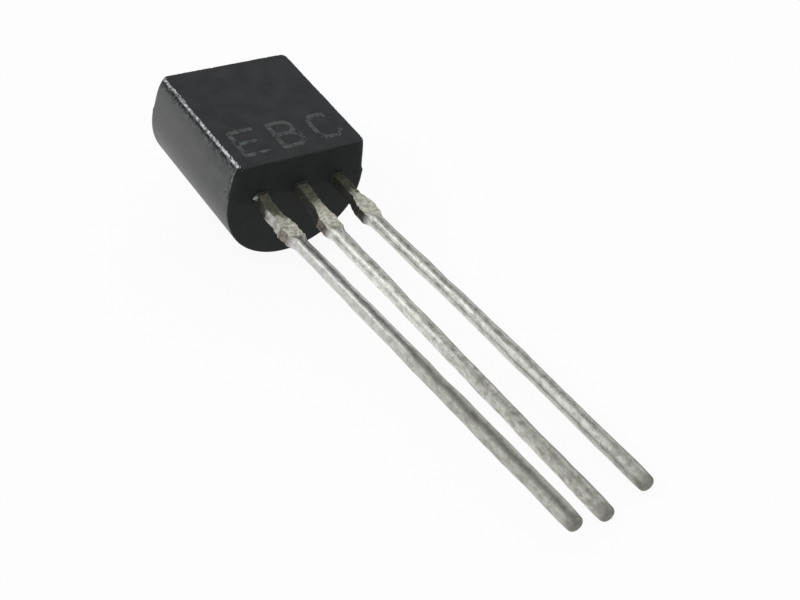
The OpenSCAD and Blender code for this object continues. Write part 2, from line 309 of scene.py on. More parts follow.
def meet(a, b, r):
    """Signed distance to the edge where two faces meet, rounded to radius r."""
    a, b = a + r, b + r
    return np.hypot(np.maximum(a, 0), np.maximum(b, 0)) + np.minimum(np.maximum(a, b), 0) - r


def side_inset(x, z):
    """How far the front half's side stands in at a height.

    On the left, resin fills the mould's step.
    """
    share = np.clip(z / FLAT_RISE, 0, 1)
    bulge = np.where(x < 0, SIDE_BULGE, RIGHT_BULGE) * share * np.sin(math.pi * share)
    slope = math.tan(SIDE_DRAFT)
    fading = np.exp(-z / FILLED_STEP_H)
    draft = slope * (z - FILLED_STEP_H * (1 - fading))
    step = (MOULD_STEP + slope * FILLED_STEP_H) * (1 - (1 + z / FILLED_STEP_H) * fading)
    return np.where(x < 0, draft + step, MOULD_STEP + slope * z) - bulge


def case_distance(p, front):
    """Signed distance from the case's surface, of its front half or of its back half."""
    x, y, z = p.T
    half_w, depth = CASE_W / 2, np.maximum(-z, 0)
    corner_r = np.where(y < CASE_LEN / 2, NEAR_CORNER_R, FAR_CORNER_R)
    from_end = np.minimum(y, CASE_LEN - y)

    side = (np.abs(x) - half_w + side_inset(x, np.maximum(z, 0))) * math.cos(SIDE_DRAFT)
    fillet = np.maximum(z, 0) / END_STEP_H
    near_step = MOULD_STEP * (1 - (1 + fillet) * np.exp(-fillet))
    end_step = np.where(y < CASE_LEN / 2, near_step, MOULD_STEP)
    end = (end_step + z * math.tan(FRONT_DRAFT) - from_end) * math.cos(FRONT_DRAFT)
    front_part = meet(meet(side, end, corner_r), z - FLAT_RISE, FLAT_EDGE_R)

    below = np.maximum(depth - BACK_STRAIGHT, 0)
    round_side = np.hypot(x, below) - half_w
    end = depth * math.tan(BACK_DRAFT) - from_end
    fade = np.clip(below / half_w * 2, 0, 1)
    rim_r = corner_r + (BACK_EDGE_R - corner_r) * fade
    back_part = meet(round_side, end, rim_r)
    return np.where(front, front_part, back_part)


def case_rows():
    """The case's rings, from the flat to the crown of its back: in front?, height, inset."""
    insets = (1.9, 1.5, 1.2, 0.9, 0.65, 0.45, 0.3, 0.2, 0.14, 0.1, 0.07, 0.045, 0.025, 0.01)
    edge_drops = (0.005, 0.02, 0.035, 0.05, 0.07, 0.095, 0.13, 0.18)
    rows = [(True, FLAT_RISE, inset) for inset in insets]
    rows += [(True, FLAT_RISE - drop, 0) for drop in edge_drops]
    rows += [(True, z, 0) for z in np.linspace(FLAT_RISE - 0.24, 0, 18)]
    rows += [(False, -z, 0) for z in (0, 0.03, 0.07, 0.11)]
    for angle in np.concatenate([np.linspace(0, 12, 9)[:-1], np.linspace(12, 89.2, 46)]):
        rows.append((False, -BACK_STRAIGHT - CASE_W / 2 * math.sin(math.radians(angle)), 0))
    return rows


def case_ring(front, z, inset, spread):
    """One ring of the case, round the outline that it has at that height."""
    half_w, lead_end = CASE_W / 2, 0
    if front:
        half_w -= MOULD_STEP + z * math.tan(SIDE_DRAFT)
        lead_end = MOULD_STEP + z * math.tan(FRONT_DRAFT)
    else:
        below = max(-z - BACK_STRAIGHT, 0)
        half_w = math.sqrt(half_w**2 - below**2)
        lead_end = -z * math.tan(BACK_DRAFT)
    half_w -= inset
    near, far = lead_end + inset, CASE_LEN - lead_end - inset
    corners = [(-half_w, near), (half_w, near), (half_w, far), (-half_w, far)]
    ring = []
    for (x0, y0), (x1, y1) in zip(corners, corners[1:] + corners[:1]):
        for f in spread:
            ring.append((x0 + (x1 - x0) * f, y0 + (y1 - y0) * f, z))
    return ring


def worn_edges(p, front):
    """How far the flat's rubbed and chipped edges are worn back, deepest along the left one."""
    x, y, z = p.T
    from_flat = FLAT_RISE - z
    off_side = np.abs(x) - (CASE_W / 2 - MOULD_STEP - z * math.tan(SIDE_DRAFT))
    off_end = MOULD_STEP + z * math.tan(FRONT_DRAFT) - np.minimum(y, CASE_LEN - y)
    off_corner = np.hypot(x + FLAT_HALF_W, y - MOULD_STEP)
    rub = 0.5 + 0.5 * field(p, 0.5, 1, 2)
    chips = np.maximum(field(p, 0.09, 2, 2) - 0.05, 0)

    def worn(off, wear, rubbed):
        reach, rub_depth, chip_depth = wear
        return bell(np.hypot(off, from_flat), reach) * (rub_depth * rubbed + chip_depth * chips)

    depth = np.where(x < 0, 1, RIGHT_WEAR_SHARE) * worn(off_side, SIDE_WEAR, rub)
    depth += worn(off_end, END_WEAR, rub) + worn(off_corner, CORNER_WEAR, 1)
    return np.where(front, depth, 0)


def gate_scar(p):
    """How far the scar of the broken-off gate stands out of the closed end."""
    x, y, z = p.T
    on_end = y > CASE_LEN - 0.12
    below_step = (z < HAIR - BACK_STRAIGHT) & (z > -BACK_STRAIGHT - GATE_H)
    ragged = 0.75 + 0.2 * field(p, 0.1, 4, 3)
    return np.where((np.abs(x) < GATE_W / 2) & on_end & below_step, GATE_OUT * ragged, 0)


def case_mesh():
    """Vertices and faces of the moulded case, settled onto its rounded and worn surface."""
    steps = np.linspace(0, 1, PER_SIDE + 1)[:-1]
    spread = steps - 0.5 * np.sin(2 * math.pi * steps) / (2 * math.pi)
    rows = case_rows()
    ring = 4 * PER_SIDE
    p = np.array([v for row in rows for v in case_ring(*row, spread)])
    front = np.repeat([row[0] for row in rows], ring)
    parting = np.repeat([row[1] == 0 for row in rows], ring)
    wear = worn_edges(p, front)
    scar = gate_scar(p)
    nudge = 1e-4
    for _ in range(SETTLINGS):
        off = case_distance(p, front) + wear + SKIN
        slope = np.stack([
            (case_distance(p + nudge * axis, front) - case_distance(p - nudge * axis, front))
            / (2 * nudge) for axis in np.eye(3)], axis=1)
        slope[parting, 2] = 0
        p -= (off / np.maximum((slope**2).sum(axis=1), 0.2))[:, None] * slope
    p[:, 1] += scar
    p[:, 2] = np.where(front, np.maximum(p[:, 2], 0), np.minimum(p[:, 2], 0))

    faces = loft(len(rows), ring)
    faces.append(tuple(range(ring)))
    # The crown of the back is closed across, from its left side to its right
    last = (len(rows) - 1) * ring
    left = [last] + [last + ring - 1 - i for i in range(PER_SIDE)]
    right = [last + PER_SIDE + i for i in range(PER_SIDE + 1)]
    faces.append(tuple([*range(last, last + PER_SIDE + 2), left[1]])[::-1])
    for i in range(1, PER_SIDE - 1):
        faces.append((left[i], left[i + 1], right[i + 1], right[i]))
    far_side = range(last + 3 * PER_SIDE, last + 2 * PER_SIDE - 1, -1)
    faces.append((left[PER_SIDE - 1], *far_side, right[PER_SIDE - 1]))
    return p, faces


def creep_collar(lead):
    """A thin skirt of resin that crept out of the case along one lead, closed round on itself."""
    # Across the skirt: distance off the lead's faces, and height as a share of the local creep
    profile = [(CREEP_OUT, -0.25), (CREEP_OUT * 0.7, 0.02), (CREEP_OUT * 0.38, 0.12), (0.018, 0.35),
               (0.008, 0.7), (0.002, 1.0), (-0.015, 0.96), (-0.02, -0.25)]
    top = [share for _, share in profile].index(1.0)
    half_w, half_t = STRIP_W / 2, SHEET_T / 2
    sag = lead["sag"] * ROOT_SAG
    rows = []
    for off, share in profile:
        row = box_ring(-half_w - off, half_w + off, half_t + off, max(off, 0.01), 30)
        rows.append([(lead["x"] + x - sag, share, z - sag) for x, z in row])
    ragged = field(np.array(rows[top]) * np.array([1, 0, 1]), 0.16, 40 + lead["seed"], 3)
    height = CREEP_LEN * np.clip(1 + 0.55 * ragged, 0.4, 1.6)
    p = np.array([v for row in rows for v in row])
    p[:, 1] *= -np.tile(height, len(rows))
    return p, loft(len(rows), len(rows[0]), closed=True)


def flash_bump():
    """A crumb of resin flash at the left of the emitter lead, where the mould's halves met."""
    middle = np.array([-LEAD_PITCH - STRIP_W / 2 - 0.01, -0.02, 0.05])
    size = np.array([0.13, 0.05, 0.09])
    across, around = 12, 20
    p = []
    for a in math.pi * np.arange(across + 1) / across:
        for b in 2 * math.pi * np.arange(around) / around:
            p.append((math.cos(a), math.sin(a) * math.cos(b), math.sin(a) * math.sin(b)))
    p = np.array(p)
    p = middle + p * size * (1 + 0.55 * field(p, 0.7, 51, 3))[:, None]
    return p, loft(across + 1, around)


def case_finish(p, faces):
    """Each face's material: matt flat, matt ends made darker as painted shade, satin sides and
    back, crept resin on the ledge.
    """
    middles, normals = face_places(p, faces)
    height, upright = middles[:, 2], normals[:, 2]
    finish = np.full(len(faces), SATIN)
    finish[np.abs(normals[:, 1]) > 0.36] = MATT_END_SHADED
    inside_rim = middles[:, 0] > RUB_ON_FLAT - FLAT_HALF_W
    finish[(upright > 0.93) & (height > 0.9 * FLAT_RISE) & inside_rim] = MATT_FLAT
    finish[(np.abs(upright) > 0.9) & (np.abs(height) < HAIR)] = CREPT
    return finish


def dress_case():
    """The case with the resin that crept along its leads, as one piece."""
    p, faces = case_mesh()
    parts = [(p, faces, case_finish(p, faces))]
    for lead in LEADS.values():
        p, faces = creep_collar(lead)
        parts.append((p, faces, np.full(len(faces), CREPT)))
    p, faces = flash_bump()
    parts.append((p, faces, np.full(len(faces), PALE)))
    verts, all_faces, finish = [], [], []
    for p, faces, one_finish in parts:
        start = len(verts)
        verts.extend(p)
        all_faces.extend(tuple(start + i for i in f) for f in faces)
        finish.extend(one_finish)
    # The ends' matt resin is the flat's made darker, as painted shade
    materials = [matt_resin("matt_flat", 0.023, (0.92, 1.03, 1.11)),
                 matt_resin("matt_end_shaded", 0.008, (0.92, 1.03, 1.06)), satin_resin(), pale_resin(),
                 matt_resin("crept_resin", 0.019, (1, 1.05, 0.86))]
    return piece("case_dressed", verts, all_faces, materials,
                 replaces="moulded_body", finish=finish)


# ---------------------------------------------------------------- leads


def box_ring(left, right, half_t, corner, per_side=14):
    """Points round a rectangle from left to right, its corners rounded.

    Where the corners are sharp, as on sheet, the points crowd towards them.
    """
    middle, half_w = (left + right) / 2, (right - left) / 2
    corner = min(corner, half_w, half_t)
    core = np.array([half_w - corner, half_t - corner])
    sides = [((-1, -1), (1, -1)), ((1, -1), (1, 1)), ((1, 1), (-1, 1)), ((-1, 1), (-1, -1))]
    ring = []
    for start, stop in sides:
        for f in np.arange(per_side) / per_side:
            warped = 0.5 - 0.5 * math.sin(math.pi * (0.5 - f)) if corner < 0.1 else f
            q = np.array(start) * (1 - warped) + np.array(stop) * warped
            q = q * np.array([half_w, half_t])
            inner = np.clip(q, -core, core)
            out = q - inner
            reach = np.hypot(*out)
            ring.append(inner + (out / reach * corner if reach > 1e-9 else out))
    return [(middle + x, z) for x, z in ring]


def lead_rings(lead, length):
    """The lead's rings: distance from the case, half width, half thickness, corner radius."""
    sheet = SHEET_T / 2
    shaft_s = np.linspace(SHAFT_AT + COAT_RUNOUT, length - END_TAPER, len(lead["radii"]))
    outline = [
        (-INNER_FROM, STRIP_W / 2, sheet, 0.02),
        (STRIP_LEN, STRIP_W / 2, sheet, 0.045),
        (STUB_AT, STUB_W / 2, sheet, 0.055),
        (SHAFT_AT - STEP_HALF, STUB_W / 2, sheet, 0.07),
        (SHAFT_AT + STEP_HALF, lead["radii"][0] + 0.03, sheet + 0.01, 0.1),
    ]
    outline += [(s, r, r, r) for s, r in zip(shaft_s, lead["radii"])]
    outline += [(length - TIP_R, END_R, END_R, END_R)]
    # Stretches of the lead, and how far apart its rings are there
    stretches = [
        (-INNER_FROM, STRIP_LEN, 0.04), (STRIP_LEN, STUB_AT, 0.03),
        (STUB_AT, SHAFT_AT - STEP_HALF, 0.02),
        (SHAFT_AT - STEP_HALF, SHAFT_AT + COAT_RUNOUT, 0.012),
        (SHAFT_AT + COAT_RUNOUT, length - TIP_R - 0.02, 0.04)]
    stations = np.concatenate([np.arange(*one) for one in stretches] + [[length - TIP_R]])
    columns = np.array(outline).T
    rings = [(s, *(np.interp(s, columns[0], column) for column in columns[1:])) for s in stations]
    for turn in np.radians(np.linspace(0, 90, 9)[1:]):
        r = END_R - TIP_R * (1 - math.cos(turn))
        rings.append((length - TIP_R + TIP_R * math.sin(turn), r, r, r))
    return rings


def lead_path(lead, rise, stations):
    """The lead's middle line in the Y-Z plane and its slope: level, then dipping, then rising."""
    fine = np.arange(0, stations[-1] + PATH_STEP, PATH_STEP)
    bends = [ROOT_LEN - ROOT_BEND, ROOT_LEN + ROOT_BEND,
             SHAFT_AT - SHAFT_BEND, SHAFT_AT + SHAFT_BEND]
    slope = np.interp(fine, bends, [0, -lead["dip"], -lead["dip"], rise])
    between = (slope[1:] + slope[:-1]) / 2
    y = np.concatenate([[0], np.cumsum(-PATH_STEP * np.cos(between))])
    z = np.concatenate([[0], np.cumsum(PATH_STEP * np.sin(between))])
    inside = np.minimum(stations, 0)
    return (np.interp(stations, fine, y) - inside, np.interp(stations, fine, z),
            np.interp(stations, fine, slope))


def lead_mesh(lead, rise, length):
    """The lead from just inside the case: strip, flare, dam-bar stub, coated shaft and tip."""
    rings = lead_rings(lead, length)
    stations = np.array([ring[0] for ring in rings])
    path = np.array(lead_path(lead, rise, stations)).T
    verts, middles = [], []
    for (s, half_w, half_t, corner), (y, z, slope) in zip(rings, path):
        shaft_share = max(s - SHAFT_AT, 0) / (length - SHAFT_AT)
        middle_x = lead["x"] + lead["bow"] * math.sin(math.pi * shaft_share)
        burr = lead["burr"] * hump(s, *BURR_SPAN)
        in_stub = hump(s, STRIP_LEN, STUB_AT, SHAFT_AT - 0.1, SHAFT_AT)
        right = half_w - in_stub * (STUB_W / 2 - lead["right"])
        sag = lead["sag"] * np.interp(s, SAG_SPAN, [ROOT_SAG, 1, 1, 0])
        for x, up in box_ring(-half_w, right, half_t, corner):
            low_left = max(-x / half_w, 0) * np.interp(up / half_t, [-1, 1], [1, 0.2])
            x, up = x - 0.55 * burr * low_left - sag, up - 0.45 * burr * low_left - sag
            verts.append((middle_x + x, y + up * math.sin(slope), z + up * math.cos(slope)))
            middles.append((middle_x, y, z))
    p, middles = np.array(verts), np.array(middles)
    ring = len(p) // len(rings)
    s = np.repeat(stations, ring)
    out = p - middles
    out /= np.maximum(np.linalg.norm(out, axis=1), 1e-9)[:, None]
    coated = np.clip((s - SHAFT_AT + 0.15) / 0.3, 0, 1)
    outside = np.clip((s - 0.03) / 0.1, 0, 1)
    seed = lead["seed"]

    # The bare sheet is rough, and creased by its burr
    rough = 0.010 * field(p, 0.09, 30 + seed, 3) + 0.016 * field(p, 0.2, 33 + seed, 2)
    rough *= 1 + CREASE_PER_BURR * lead["burr"] * bell(s - STUB_AT, 0.35)

    # The solder's lumps only take from its thickness; along the shaft it has waves as well
    long = p * np.array([1, 0.35, 1])
    lumps = 0.008 * field(long, 0.3, 10 + seed, 2) + 0.0025 * field(long, 0.07, 20 + seed, 2)
    on_shaft = hump(s, SHAFT_AT + 0.3, SHAFT_AT + 1, length - 1.5, length - 0.5)
    waves = field(p * np.array([1, 0.7, 1]), 0.8, 60 + seed, 2)
    lumps = np.minimum(lumps, LUMP_CAP) - LUMP_CAP + WAVE_DEPTH * on_shaft * waves
    p = p + out * (coated * lumps + (1 - coated) * outside * rough)[:, None]
    faces = loft(len(rings), ring)
    faces.append(tuple(range((len(rings) - 1) * ring, len(rings) * ring)))
    faces.append(tuple(range(ring))[::-1])
    return p, faces


def inner_lead(name):
    """The barbs and the post or paddle inside the case, taken from the CAD lead behind its wall."""
    solid = bmesh.new()
    solid.from_mesh(frame["nodes"][name].data)
    solid.transform(Matrix.Scale(1 / MM, 4) @ OWN_INVERSE)
    bmesh.ops.remove_doubles(solid, verts=solid.verts, dist=1e-4)
    wall = bmesh.ops.bisect_plane(solid, geom=[*solid.verts, *solid.edges, *solid.faces],
                                  plane_co=(0, INNER_FROM, 0), plane_no=(0, 1, 0), clear_inner=True)
    rim = [e for e in wall["geom_cut"] if isinstance(e, bmesh.types.BMEdge)]
    bmesh.ops.holes_fill(solid, edges=rim, sides=0)
    solid.verts.index_update()
    verts = np.array([v.co[:] for v in solid.verts])
    faces = [tuple(v.index for v in f.verts) for f in solid.faces]
    solid.free()
    return verts, faces


def make_lead(name, lead):
    """One lead, from its post or paddle in the case to the end of the shaft in its mount."""
    shaft = MOUNTS[name.replace("_lead", "_shaft")]
    axis = OWN_INVERSE.to_3x3() @ Vector(shaft["axis"])
    dipping = SHAFT_AT - ROOT_LEN
    start = Vector((lead["x"], -ROOT_LEN - dipping * math.cos(lead["dip"]),
                    -dipping * math.sin(lead["dip"])))
    along = (OWN_INVERSE @ Vector(shaft["pos_m"]) / MM - start).length
    length = SHAFT_AT + along + shaft["dims"]["length_mm"] / 2 + TIP_R - SKIN
    tip_y = start.y - (length - SHAFT_AT) * math.sqrt(1 - axis.z**2)
    outer, faces = lead_mesh(lead, math.asin(axis.z), length)
    inner, inner_faces = inner_lead(name)
    faces += [tuple(len(outer) + i for i in f) for f in inner_faces]
    return piece(name + "_dressed", np.concatenate([outer, inner]), faces,
                 [lead_metal(name, lead, tip_y)], sharp=45, replaces=name)


# ---------------------------------------------------------------- ink


def stroke_distance(x, y, stroke):
    """Distance of points from a stroke of straight pieces."""
    nearest = np.full(np.shape(x), np.inf)
    for (x0, y0), (x1, y1) in zip(stroke, stroke[1:]):
        run = (x1 - x0) ** 2 + (y1 - y0) ** 2
        t = np.clip(((x - x0) * (x1 - x0) + (y - y0) * (y1 - y0)) / run, 0, 1)
        nearest = np.minimum(nearest, np.hypot(x - x0 - t * (x1 - x0), y - y0 - t * (y1 - y0)))
    return nearest


def ink_flakes(letter, middle_x):
    """What is left of one printed letter: the cells of a fine grid that wear has spared."""
    left = middle_x - LETTER_W / 2
    xs = np.arange(left - STROKE_W, left + LETTER_W + STROKE_W, INK_CELL)
    ys = np.arange(LETTER_FOOT - STROKE_W, LETTER_FOOT + LETTER_H + STROKE_W, INK_CELL)
    x, y = np.meshgrid(xs + INK_CELL / 2, ys + INK_CELL / 2, indexing="ij")
    strokes = [[(left + a * (LETTER_W / 4), LETTER_FOOT + b * (LETTER_H / 6)) for a, b in stroke]
               for stroke in LETTERS[letter]]
    nearest = np.min([stroke_distance(x, y, stroke) for stroke in strokes], axis=0)
    places = np.stack([x, y, np.zeros_like(x)], axis=-1).reshape(-1, 3)
    worn = (field(places, 0.22, 60, 3) + 0.5 * field(places, 0.05, 61, 2)).reshape(x.shape)
    kept = (nearest < STROKE_W / 2) & (worn > INK_GONE)
    # No two cells touch at a corner only, or the flakes' walls would meet in one edge
    for _ in range(4):
        kept[1:, :-1] |= kept[:-1, :-1] & kept[1:, 1:] & ~kept[:-1, 1:]
        kept[:-1, :-1] |= kept[1:, :-1] & kept[:-1, 1:] & ~kept[1:, 1:]
    corners, verts, faces = {}, [], []

    def corner(i, j):
        if (i, j) not in corners:
            corners[i, j] = len(verts)
            verts.append((xs[0] + i * INK_CELL, ys[0] + j * INK_CELL, FLAT_RISE + INK_T / 2))
        return corners[i, j]

    for i, j in np.argwhere(kept):
        faces.append((corner(i, j), corner(i + 1, j), corner(i + 1, j + 1), corner(i, j + 1)))
    return verts, faces


def make_ink(letter, lead):
    """One worn letter on the flat, over its lead."""
    verts, faces = ink_flakes(letter, lead["x"])
    made = piece(f"ink_letter_{letter}", verts, faces, [marking_ink()])
    thickness = made.modifiers.new("thickness", "SOLIDIFY")
    thickness.thickness = INK_T * MM
    thickness.offset = -1
    return made


# ---------------------------------------------------------------- materials


def add(tree, kind, inputs=None, **settings):
    """A node with its settings and inputs. An input is a value or another node's output."""
    made = tree.nodes.new(kind)
    for name, value in settings.items():
        setattr(made, name, value)
    for name, value in (inputs or {}).items():
        if isinstance(value, bpy.types.NodeSocket):
            tree.links.new(value, made.inputs[name])
        else:
            made.inputs[name].default_value = value
    return made


def new_material(name):
    """A new material, its node tree and its Principled shader."""
    material = bpy.data.materials.new(name)
    material.use_nodes = True
    tree = material.node_tree
    return material, tree, tree.nodes["Principled BSDF"]


def grey(level, tint=(1, 1, 1)):
    """A colour of that level, times its tint."""
    return (level * tint[0], level * tint[1], level * tint[2], 1)


def own_place(tree):
    """The shaded point in the case's own frame, in millimetres."""
    where = add(tree, "ShaderNodeTexCoord").outputs["Object"]
    return add(tree, "ShaderNodeMapping", {
        "Vector": where, "Scale": (1 / MM,) * 3, "Rotation": OWN_INVERSE.to_euler(),
        "Location": OWN_INVERSE.translation / MM}).outputs[0]


def speckle(tree, where, size, detail=3, rough=0.6):
    """Noise whose lumps are about size millimetres across."""
    return add(tree, "ShaderNodeTexNoise", {
        "Vector": where, "Scale": 1 / size, "Detail": detail, "Roughness": rough}).outputs[0]


def remap(tree, value, low, high, to_low=0.0, to_high=1.0):
    """The value carried from low..high to to_low..to_high, and held at those ends."""
    return add(tree, "ShaderNodeMapRange", {
        "Value": value, "From Min": low, "From Max": high,
        "To Min": to_low, "To Max": to_high}).outputs[0]


def maths(tree, operation, first, second):
    """The two values put together by one of Blender's math operations."""
    return add(tree, "ShaderNodeMath", {0: first, 1: second}, operation=operation).outputs[0]


def times(tree, first, second):
    """Their product, which for masks is where both hold."""
    return maths(tree, "MULTIPLY", first, second)


def facing(tree, direction, way):
    """How far a direction points a way that is given in the case's own frame: 1 straight there."""
    return add(tree, "ShaderNodeVectorMath", {0: direction, 1: (OWN.to_3x3() @ Vector(way))[:]},
               operation="DOT_PRODUCT").outputs["Value"]


def drawn_out(tree, where, share):
    """The place with its run along the leads cut to a share, which draws noise out that way."""
    return add(tree, "ShaderNodeMapping", {"Vector": where, "Scale": (1, share, 1)}).outputs[0]


def blend_colour(tree, amount, first, second):
    """The first colour where the amount is 0, the second where it is 1."""
    factor, low, high, result = 0, 6, 7, 2
    return add(tree, "ShaderNodeMix", {factor: amount, low: first, high: second},
               data_type="RGBA").outputs[result]


def layered(tree, colour, *layers):
    """A colour with others laid over it in turn, each layer an amount and a colour."""
    for amount, over in layers:
        colour = blend_colour(tree, amount, colour, over)
    return colour


def bump(tree, shader, height):
    """Fine grain, GRAIN_DEPTH deep where height goes from 0 to 1."""
    made = add(tree, "ShaderNodeBump", {
        "Strength": 1.0, "Distance": GRAIN_DEPTH * MM, "Height": height})
    tree.links.new(made.outputs[0], shader.inputs["Normal"])


def matt_resin(name, level, tint):
    """The flat, the ends and the crept resin, which are matt."""
    material, tree, shader = new_material(name)
    where = own_place(tree)
    cloud = speckle(tree, where, 0.6)
    fine = speckle(tree, where, 0.045, 4)
    colour = layered(
        tree, grey(level, tint),
        (remap(tree, cloud, 0.35, 0.7), grey(1.5 * level, tint)),
        (remap(tree, fine, 0.6, 0.78, 0, 0.3), grey(3 * level, (1, 1.05, 1.02))))
    tree.links.new(colour, shader.inputs["Base Color"])
    tree.links.new(remap(tree, fine, 0.3, 0.7, 0.66, 0.8), shader.inputs["Roughness"])
    shader.inputs["Specular IOR Level"].default_value = MATT_SPECULAR
    bump(tree, shader, fine)
    return material


def edge_wear(tree, where):
    """Masks on the left side: the rubbed edge, painted pale as a highlight, the scuffs by it,
    whose pale specks are partly painted glints, and a darker band under it.
    """
    x, y, z = add(tree, "ShaderNodeSeparateXYZ", {"Vector": where}).outputs
    left = maths(tree, "LESS_THAN", x, 0)
    off_x = maths(tree, "ADD", x, FLAT_HALF_W - 0.4 * RUB_ON_FLAT)
    off_z = maths(tree, "SUBTRACT", z, FLAT_RISE)
    squared = maths(tree, "ADD", times(tree, off_x, off_x), times(tree, off_z, off_z))
    off = maths(tree, "SQRT", squared, 0)

    # A painted highlight on the rubbed edge: pale dots that run together on the edge, and a few on
    # the rim of the lead end
    dots = speckle(tree, where, 0.11, 1, 0.5)
    edge_glint_field = maths(tree, "ADD", dots, remap(tree, y, 0.1, 2.6, 0.12, 0))
    rubbed = remap(tree, edge_glint_field, 0.42, 0.64, 0.22, 1)
    rubbed = times(tree, rubbed, remap(tree, off, 0.04, 0.085, 1, 0))
    near_rim = times(tree, remap(tree, y, 0.2, 0.3, 1, 0), remap(tree, z, 0.2, 0.9))
    near_rim = times(tree, near_rim, remap(tree, dots, 0.48, 0.6, 0, 0.3))
    rubbed = maths(tree, "MAXIMUM", rubbed, near_rim)

    # Scuffs along the edge and round the near corner, their pale specks partly painted glints, and
    # a darker band close under the edge
    near_edge = remap(tree, off, 0.12, 0.34, 1, 0)
    near_corner = times(tree, remap(tree, y, 0.25, 0.65, 1, 0), remap(tree, z, -0.3, 0.2, 0, 0.55))
    scuffed = maths(tree, "MAXIMUM", near_edge, near_corner)
    darker_under_edge = times(tree, remap(tree, off, 0.13, 0.21, 1, 0), remap(tree, y, 0.3, 0.9))
    return [times(tree, mask, left) for mask in (rubbed, scuffed, darker_under_edge)]


def satin_resin():
    """The sides and the round back: smoother, brighter, and worn at the flat's left edge, along
    which a pale highlight is painted.
    """
    material, tree, shader = new_material("satin_resin")
    where = own_place(tree)
    y = add(tree, "ShaderNodeSeparateXYZ", {"Vector": where}).outputs[1]
    cloud = speckle(tree, where, 0.55, 4)
    fine = speckle(tree, where, 0.05, 4)
    spots = speckle(tree, where, 0.09, 2, 0.6)
    rubbed, scuffed, darker_under_edge = edge_wear(tree, where)
    darker_under_edge_spotty = times(tree, darker_under_edge, remap(tree, spots, 0.62, 0.52, 0.3, 1))
    dark = maths(tree, "MAXIMUM", times(tree, scuffed, remap(tree, spots, 0.5, 0.42)), darker_under_edge_spotty)
    pale = times(tree, scuffed, remap(tree, spots, 0.54, 0.66, 0, 0.5))
    colour = layered(
        tree, grey(0.026, (0.92, 1.06, 1.0)),
        (remap(tree, cloud, 0.38, 0.62), grey(0.052, (1.03, 1.02, 1.07))),
        (times(tree, remap(tree, y, 1.5, CASE_LEN), 0.6), grey(0.075, (1, 1.0, 1.02))),
        (pale, grey(0.19, (0.88, 1.07, 0.86))),
        (dark, grey(0.005, (0.85, 0.95, 1.2))),
        # the rubbed edge's pale grey is a painted highlight
        (rubbed, grey(0.7, (0.96, 1.0, 1.03))))
    tree.links.new(colour, shader.inputs["Base Color"])
    rough = maths(tree, "ADD", remap(tree, cloud, 0.3, 0.7, 0.40, 0.50), times(tree, dark, 0.5))
    tree.links.new(rough, shader.inputs["Roughness"])
    shader.inputs["Specular IOR Level"].default_value = 0.6
    bump(tree, shader, maths(tree, "ADD", fine, times(tree, spots, scuffed)))
    return material


def pale_resin():
    """Thin flash, where the filler in the resin shows pale and greenish."""
    material, tree, shader = new_material("pale_resin")
    grain = speckle(tree, own_place(tree), 0.05, 3, 0.7)
    colour = blend_colour(tree, remap(tree, grain, 0.42, 0.6), grey(0.12, (0.9, 1.1, 0.95)),
                          grey(0.5, (0.90, 1.04, 0.99)))
    tree.links.new(colour, shader.inputs["Base Color"])
    shader.inputs["Roughness"].default_value = 0.5
    return material


def marking_ink():
    """Faint grey-green ink, thin enough for the resin to darken it."""
    material, tree, shader = new_material("marking_ink")
    cloud = speckle(tree, own_place(tree), 0.12, 3)
    colour = blend_colour(tree, remap(tree, cloud, 0.35, 0.65), grey(0.045, (0.92, 1.05, 1.02)),
                          grey(0.10, (0.86, 1.04, 1.0)))
    tree.links.new(colour, shader.inputs["Base Color"])
    shader.inputs["Roughness"].default_value = 0.6
    shader.inputs["Specular IOR Level"].default_value = MATT_SPECULAR
    return material


